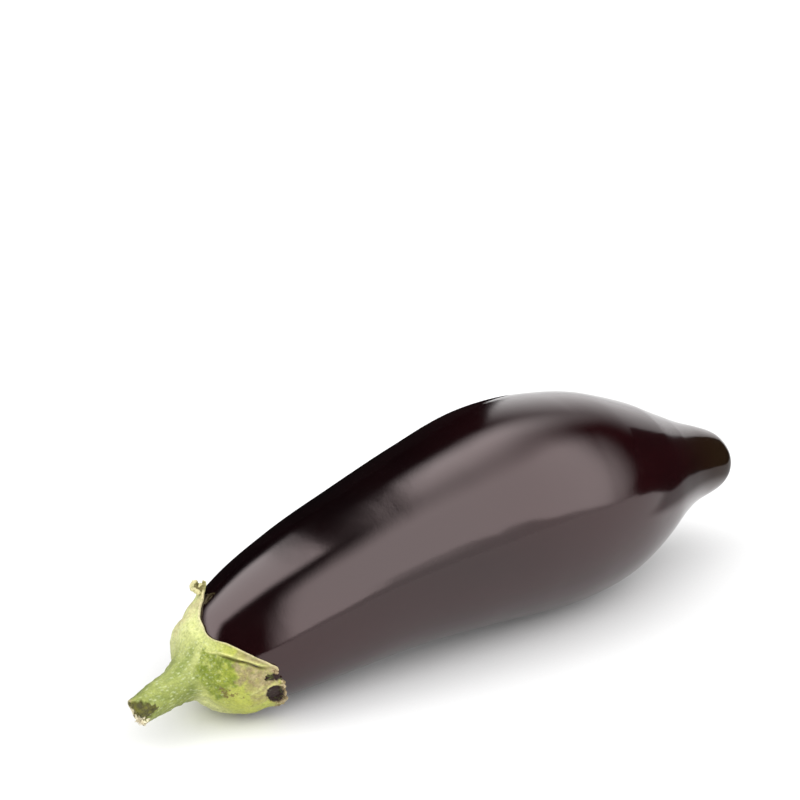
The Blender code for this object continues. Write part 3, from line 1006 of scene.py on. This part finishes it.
def green_material():
    m = Nodes("green_flesh")
    x, y, z = m.position()
    long_way = m.scaled(0.22, 1.0, 1.0)
    slow = m.noise(70.0, 3.0)
    mottled = m.noise(330.0, 4.0, 0.6)
    streaks = m.noise(900.0, 3.0, 0.6, vector=long_way)
    on_stem = m.span(x, -0.108, -0.116)

    crown = m.mix(m.span(slow, 0.35, 0.65), (0.475, 0.50, 0.19), (0.575, 0.585, 0.275))
    stalk = m.mix(m.span(m.noise(160.0, 4.0, 0.6, vector=long_way), 0.36, 0.64), (0.108, 0.142, 0.017), (0.195, 0.230, 0.044))
    # The crown is palest on top; the lobe that faces the near side is a deeper yellow green.
    crown = m.mix(m.span(y, -0.003, -0.015), crown, m.mix(m.span(slow, 0.35, 0.65), (0.315, 0.340, 0.046), (0.390, 0.405, 0.072)))
    # Painted light: the stem's top is painted paler, where the light falls on it.
    stalk = m.mix(m.span(z, 0.0188, 0.0218, 0.0, 0.35), stalk, (0.40, 0.44, 0.15))
    colour = m.mix(on_stem, crown, stalk)
    colour = m.mix(m.span(mottled, 0.40, 0.64, 0.0, 0.30), colour, (0.33, 0.365, 0.085))
    leaf = m.value("leaf")
    vivid = m.mix(m.span(m.noise(240.0, 4.0, 0.65), 0.38, 0.62), (0.195, 0.240, 0.014), (0.115, 0.160, 0.005))
    leaf_soft = m.math("MULTIPLY", leaf, m.span(m.noise(520.0, 4.0, 0.7), 0.28, 0.60, 0.35, 1.0))
    colour = m.mix(leaf_soft, colour, vivid)
    # Painted shade: the valleys are painted a darker green.
    colour = m.mix(m.math("MULTIPLY", m.value("valley"), 0.7), colour, (0.150, 0.195, 0.026))
    colour = m.mix(m.math("MULTIPLY", m.value("tan"), m.span(mottled, 0.3, 0.65, 0.35, 0.85)), colour, (0.45, 0.40, 0.20))

    # Dried flesh: tan and lilac, with cream veins.
    dry = m.value("dry")
    dry_tint = m.mix(m.span(m.noise(420.0, 4.0, 0.65), 0.35, 0.65), (0.205, 0.148, 0.080), (0.315, 0.255, 0.140))
    colour = m.mix(m.math("MULTIPLY", dry, m.span(mottled, 0.25, 0.6, 0.45, 0.9)), colour, dry_tint)
    # Edges: cream. The fold: dead olive under a pale raised lip; its dark olive is partly its own colour and partly
    # painted shade in the crease.
    colour = m.mix(m.math("MULTIPLY", m.value("lip"), 0.75), colour, (0.56, 0.55, 0.21))
    colour = m.mix(m.math("MULTIPLY", m.value("edge"), 0.65), colour, (0.55, 0.48, 0.28))
    colour = m.mix(m.math("MULTIPLY", m.value("fold"), 0.85), colour, (0.11, 0.092, 0.018))
    brown = m.value("brown")
    burnt = m.noise(640.0, 5.0, 0.75)
    brown_tint = m.mix(m.span(burnt, 0.42, 0.58), (0.12, 0.072, 0.025), (0.50, 0.40, 0.24))
    colour = m.mix(m.math("MULTIPLY", brown, 0.92), colour, brown_tint)
    speck_edge = m.span(m.noise(900.0, 4.0, 0.7), 0.3, 0.6, 0.6, 1.0)
    colour = m.mix(m.math("MULTIPLY", m.value("speck"), speck_edge), colour, (0.125, 0.080, 0.016))
    colour = m.mix(m.math("MULTIPLY", m.value("wall"), 0.55), colour, (0.17, 0.105, 0.05))
    # Painted shade: the sheet in the slit and the hole is near black.
    colour = m.mix(m.span(m.value("pit"), 0.0, 0.45), colour, (0.024, 0.010, 0.009))
    olive_tip = m.mix(m.span(burnt, 0.38, 0.60), (0.095, 0.080, 0.018), (0.24, 0.20, 0.075))
    colour = m.mix(m.value("olive"), colour, olive_tip)

    # Felt of short pale hairs: dots and short dashes along the stem, and in a band over the lobe.
    near_stem = m.span(x, -0.101, -0.110, 0.12, 1.0)
    dashes = m.span(m.cells(980.0, vector=m.scaled(0.50, 1.0, 1.0)), 0.50, 0.10)
    gate = m.span(m.noise(400.0, 4.0, 0.75), 0.40, 0.58)
    felt = m.math("MULTIPLY", m.math("MULTIPLY", dashes, gate), near_stem)
    fine = m.math("MULTIPLY", m.span(m.cells(1700.0), 0.30, 0.12), m.span(m.noise(400.0, 3.0, 0.7), 0.45, 0.60))
    felt = m.math("MAXIMUM", felt, m.math("MULTIPLY", fine, m.math("MULTIPLY", near_stem, 0.8)))
    colour = m.shade(colour, on_stem, 1.0, 0.94)
    colour = m.mix(m.math("MULTIPLY", felt, 0.48), colour, (0.55, 0.60, 0.37))
    colour = m.mix(m.span(streaks, 0.52, 0.68, 0.0, 0.40), colour, (0.155, 0.20, 0.035))
    colour = m.shade(colour, m.span(m.noise(1300.0, 3.0, 0.6), 0.3, 0.7), 0.84, 1.13)
    # Painted shade: the stem's lower side is painted a darker, deeper green.
    lower = m.math("MULTIPLY", on_stem, m.span(z, 0.0170, 0.0100))
    colour = m.shade(colour, lower, 1.0, 0.78)

    # The cut: dark olive dried flesh, cream and brown torn strands below.
    face = m.value("face")
    core = m.value("core")
    torn = m.noise(520.0, 4.0, 0.7)
    olive = m.mix(m.span(torn, 0.36, 0.64), (0.075, 0.068, 0.010), (0.165, 0.150, 0.030))
    pith = m.mix(m.span(m.noise(760.0, 4.0, 0.7), 0.38, 0.50), (0.10, 0.075, 0.03), (0.66, 0.60, 0.42))
    face_tint = m.mix(m.span(m.value("torn"), 0.25, 0.6), olive, pith)
    wedge = m.value("wedge")
    rind = m.math("MULTIPLY", m.value("end"), m.math("SUBTRACT", 1.0, wedge))
    colour = m.mix(m.math("MULTIPLY", rind, 0.6), colour, (0.42, 0.34, 0.17))
    colour = m.mix(wedge, colour, m.mix(m.span(torn, 0.38, 0.66), (0.036, 0.032, 0.001), (0.098, 0.094, 0.004)))
    colour = m.mix(m.value("torn"), colour, pith)
    colour = m.mix(face, colour, face_tint)
    colour = m.mix(m.value("fibre"), colour, (0.64, 0.57, 0.40))
    m.set(m.shader.inputs["Base Color"], colour)

    rough = m.span(m.noise(260.0, 3.0), 0.3, 0.7, 0.48, 0.62)
    rough = m.math("ADD", rough, m.math("MULTIPLY", m.math("MAXIMUM", dry, brown), 0.15))
    rough = m.math("ADD", rough, m.math("MULTIPLY", m.value("pit"), 0.3))
    m.set(m.shader.inputs["Roughness"], rough)
    m.shader.inputs["IOR"].default_value = 1.4
    m.shader.inputs["Sheen Weight"].default_value = 0.05
    m.shader.inputs["Sheen Roughness"].default_value = 0.5
    m.bumps(
        [
            (m.noise(300.0, 4.0, 0.65), 0.35, 0.0006),
            (m.noise(1100.0, 4.0, 0.7, vector=m.scaled(0.4, 1.0, 1.0)), 0.35, 0.0003),
            (dashes, 0.25, 0.0003),
        ]
    )
    return m.material


# ---------------------------------------------------------------- studio
def studio_world():
    """Large soft panels in a dim room, which the skin mirrors, and an even fill for matt surfaces. The backdrop itself is plain and pale."""
    world = bpy.data.worlds.new("studio")
    world.use_nodes = True
    tree = world.node_tree
    tree.nodes.clear()
    coords = tree.nodes.new("ShaderNodeTexCoord").outputs["Generated"]

    def socket_set(socket, value):
        if isinstance(value, bpy.types.NodeSocket):
            tree.links.new(value, socket)
        else:
            socket.default_value = value

    def maths(kind, a, b=0.0):
        node = tree.nodes.new("ShaderNodeMath")
        node.operation = kind
        socket_set(node.inputs[0], a)
        socket_set(node.inputs[1], b)
        return node.outputs[0]

    def side_of(normal, low, high):
        """0 to 1 as the direction's dot product with the normal goes from low to high."""
        dot = tree.nodes.new("ShaderNodeVectorMath")
        dot.operation = "DOT_PRODUCT"
        tree.links.new(coords, dot.inputs[0])
        dot.inputs[1].default_value = tuple(float(v) for v in normal)
        span = tree.nodes.new("ShaderNodeMapRange")
        span.interpolation_type = "SMOOTHSTEP"
        tree.links.new(dot.outputs["Value"], span.inputs["Value"])
        span.inputs["From Min"].default_value = low
        span.inputs["From Max"].default_value = high
        return span.outputs["Result"]

    def panel(strength, *sides):
        total = None
        for side in sides:
            mask = side_of(*side)
            total = mask if total is None else maths("MULTIPLY", total, mask)
        return maths("MULTIPLY", total, strength)

    # The large panel in front and to the right. Under its lower edge the room is as pale as the floor.
    sector = panel(
        1.0,
        ((0.89, -0.36, 0.28), 0.19, 0.42),
        ((-0.65, -0.60, 0.47), -0.28, 0.10),
        ((0.25, -0.76, -0.60), -0.50, -0.08),
        ((0, 0, 1), -0.03, 0.0),
    )
    above = maths("MAXIMUM", side_of((-0.289, 0.067, 1.0), -0.02, 0.03), side_of((0.197, 0.234, 1.0), -0.02, 0.03))
    stand = panel(1.0, ((0.972, 0.233, 0.0), -0.02, 0.04), ((-0.599, -0.370, -0.710), -0.025, 0.025))
    lit_part = maths("MULTIPLY", above, maths("SUBTRACT", 1.0, stand))
    front = maths("MULTIPLY", sector, maths("ADD", maths("MULTIPLY", lit_part, 1.72), 1.23))
    # A brighter strip above it, towards the back.
    upper = panel(
        3.9,
        ((0.98, -0.10, 0.16), 0.318, 0.353),
        ((-0.67, 0.71, 0.21), -0.35, 0.25),
        ((0.37, -0.37, 0.85), 0.54, 0.80),
    )
    # A pale wall to the right, behind.
    wall = panel(
        3.9,
        ((0.71, 0.69, 0.17), 0.74, 1.34),
        ((0.88, -0.47, 0.08), 0.15, 0.19),
        ((0, 0, 1), -0.1, 0.0),
    )
    # The second panel, behind and to the left.
    second = panel(
        3.5,
        ((-0.947, -0.02, -0.32), -0.40, -0.315),
        ((0.26, 0.966, 0.0), -0.16, 0.03),
        ((-0.19, -0.63, 0.755), -0.14, 0.08),
    )
    total = maths("ADD", maths("ADD", front, upper), maths("ADD", wall, second))
    total = maths("ADD", total, 0.004)
    # Matt surfaces also get an even fill, a little stronger from the near left.
    fill = maths("ADD", panel(1.35, ((-0.36, -0.84, 0.40), -0.4, 1.0)), 0.60)
    matt_total = maths("ADD", maths("MULTIPLY", total, 0.32), fill)

    light = tree.nodes.new("ShaderNodeBackground")
    light.inputs["Color"].default_value = (1.0, 1.0, 1.0, 1.0)
    tree.links.new(total, light.inputs["Strength"])
    matt = tree.nodes.new("ShaderNodeBackground")
    matt.inputs["Color"].default_value = (1.0, 1.0, 1.0, 1.0)
    tree.links.new(matt_total, matt.inputs["Strength"])
    plain = tree.nodes.new("ShaderNodeBackground")
    plain.inputs["Color"].default_value = (1.0, 1.0, 1.0, 1.0)
    plain.inputs["Strength"].default_value = 1.1
    path = tree.nodes.new("ShaderNodeLightPath")
    lit = tree.nodes.new("ShaderNodeMixShader")
    tree.links.new(path.outputs["Is Glossy Ray"], lit.inputs[0])
    tree.links.new(matt.outputs[0], lit.inputs[1])
    tree.links.new(light.outputs[0], lit.inputs[2])
    mixed = tree.nodes.new("ShaderNodeMixShader")
    tree.links.new(path.outputs["Is Camera Ray"], mixed.inputs[0])
    tree.links.new(lit.outputs[0], mixed.inputs[1])
    tree.links.new(plain.outputs[0], mixed.inputs[2])
    out = tree.nodes.new("ShaderNodeOutputWorld")
    tree.links.new(mixed.outputs[0], out.inputs["Surface"])
    bpy.context.scene.world = world


def make_floor():
    half = 12.0
    mesh = bpy.data.meshes.new("floor")
    mesh.from_pydata([(-half, -half, 0), (half, -half, 0), (half, half, 0), (-half, half, 0)], [], [(0, 1, 2, 3)])
    floor = bpy.data.objects.new("floor", mesh)
    bpy.context.scene.collection.objects.link(floor)
    m = Nodes("floor_pale")
    grain = m.span(m.noise(900.0, 2.0), 0.3, 0.7)
    m.set(m.shader.inputs["Base Color"], m.mix(grain, (0.735, 0.735, 0.735), (0.745, 0.745, 0.745)))
    m.shader.inputs["Roughness"].default_value = 0.7
    m.shader.inputs["Specular IOR Level"].default_value = 0.2
    mesh.materials.append(m.material)


def make_low_card():
    """A card on the floor under the blossom end, seen only in what the glossy skin mirrors: floor grey at its edges,
    with a darker grey middle that is a painted shadow of the floor in that reflection.
    """
    mesh = bpy.data.meshes.new("low_card")
    corners = ((0.145, -0.10, 0.0005), (0.36, -0.10, 0.0005), (0.36, 0.08, 0.0005), (0.145, 0.08, 0.0005))
    mesh.from_pydata(corners, [], [(0, 1, 2, 3)])
    card = bpy.data.objects.new("low_card", mesh)
    bpy.context.scene.collection.objects.link(card)
    for way in ("camera", "diffuse", "shadow", "transmission", "volume_scatter"):
        setattr(card, "visible_" + way, False)
    m = Nodes("low_card_painted_shadow")
    x, y, z = m.position()
    # Painted shadow: the middle of the card is dark grey, the floor's shade as the skin's reflection shows it.
    middle = m.math("MULTIPLY", m.span(x, 0.145, 0.182), m.math("MULTIPLY", m.span(y, -0.098, -0.055), m.span(y, 0.078, 0.035)))
    grain = m.span(m.noise(900.0, 2.0), 0.3, 0.7)
    edge = m.mix(grain, (0.735, 0.735, 0.735), (0.745, 0.745, 0.745))
    m.set(m.shader.inputs["Base Color"], m.mix(middle, edge, (0.25, 0.25, 0.25)))
    m.shader.inputs["Roughness"].default_value = 0.7
    m.shader.inputs["Specular IOR Level"].default_value = 0.2
    mesh.materials.append(m.material)


def make_flag(name, corners):
    """A black card at the side of the set: it only darkens what the glossy skin mirrors."""
    mesh = bpy.data.meshes.new(name)
    mesh.from_pydata([tuple(v * MM for v in corner) for corner in corners], [], [tuple(range(len(corners)))])
    flag = bpy.data.objects.new(name, mesh)
    bpy.context.scene.collection.objects.link(flag)
    for way in ("camera", "diffuse", "shadow", "transmission", "volume_scatter"):
        setattr(flag, "visible_" + way, False)
    m = Nodes(name + "_black")
    m.set(m.shader.inputs["Base Color"], m.mix(m.span(m.noise(60.0, 2.0), 0.3, 0.7), (0.006, 0.006, 0.006), (0.009, 0.008, 0.008)))
    m.shader.inputs["Roughness"].default_value = 0.9
    m.shader.inputs["Specular IOR Level"].default_value = 0.0
    mesh.materials.append(m.material)


def make_camera():
    """Camera about 24.5 degrees above the floor, 40 degrees round from square on."""
    focal, width = 3620.0, 800.0
    target = np.array([19.4, 0.0, 36.3])
    eye = target + BACK * 1300.0
    look = RIGHT * ((400 - 482) / focal) + UPWARD * ((525.7 - 400) / focal) - BACK
    z = -look / np.linalg.norm(look)
    x = RIGHT - z * (RIGHT @ z)
    x /= np.linalg.norm(x)
    y = np.cross(z, x)
    data = bpy.data.cameras.new("camera")
    data.sensor_width = 36.0
    data.lens = focal / width * 36.0
    data.clip_start, data.clip_end = 0.05, 60.0
    data.dof.use_dof = False
    camera = bpy.data.objects.new("camera", data)
    bpy.context.scene.collection.objects.link(camera)
    matrix = Matrix.Identity(4)
    for k, axis in enumerate((x, y, z)):
        for row in range(3):
            matrix[row][k] = axis[row]
    matrix.translation = Vector(eye * MM)
    camera.matrix_world = matrix
    bpy.context.scene.camera = camera


def main():
    skin = build_fruit()
    leaf, stalk = build_green()
    gloss, green = skin_material(), green_material()
    skin.data.materials.append(gloss)
    leaf.data.materials.append(green)
    stalk.data.materials.append(green)
    for piece, node, slot in ((skin, "fruit", "skin"), (leaf, "calyx", "calyx"), (stalk, "stem", "stem")):
        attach(piece, "root")
        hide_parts(node)
    make_floor()
    make_low_card()
    right = [(-150, 42), (-101, 30), (-62, 10), (-45, 2), (-27, 2), (-10, 2), (24, 2), (34, 8), (36, 66), (26, 80), (24, 125), (-70, 130), (-112, 100), (-150, 72)]
    make_flag("flag_right", [(240, y, z) for y, z in right])
    back = [(-170, 1), (88, 1), (88, 44), (80, 62), (70, 71), (57, 86), (40, 95), (-20, 95), (-60, 72), (-170, 55)]
    make_flag("flag_back", [(x, 60, z) for x, z in back])
    studio_world()
    make_camera()
    scene = bpy.context.scene
    scene.view_settings.view_transform = "Standard"
    scene.view_settings.look = "None"
    scene.view_settings.exposure = 0.0
    scene.view_settings.gamma = 1.0


main()
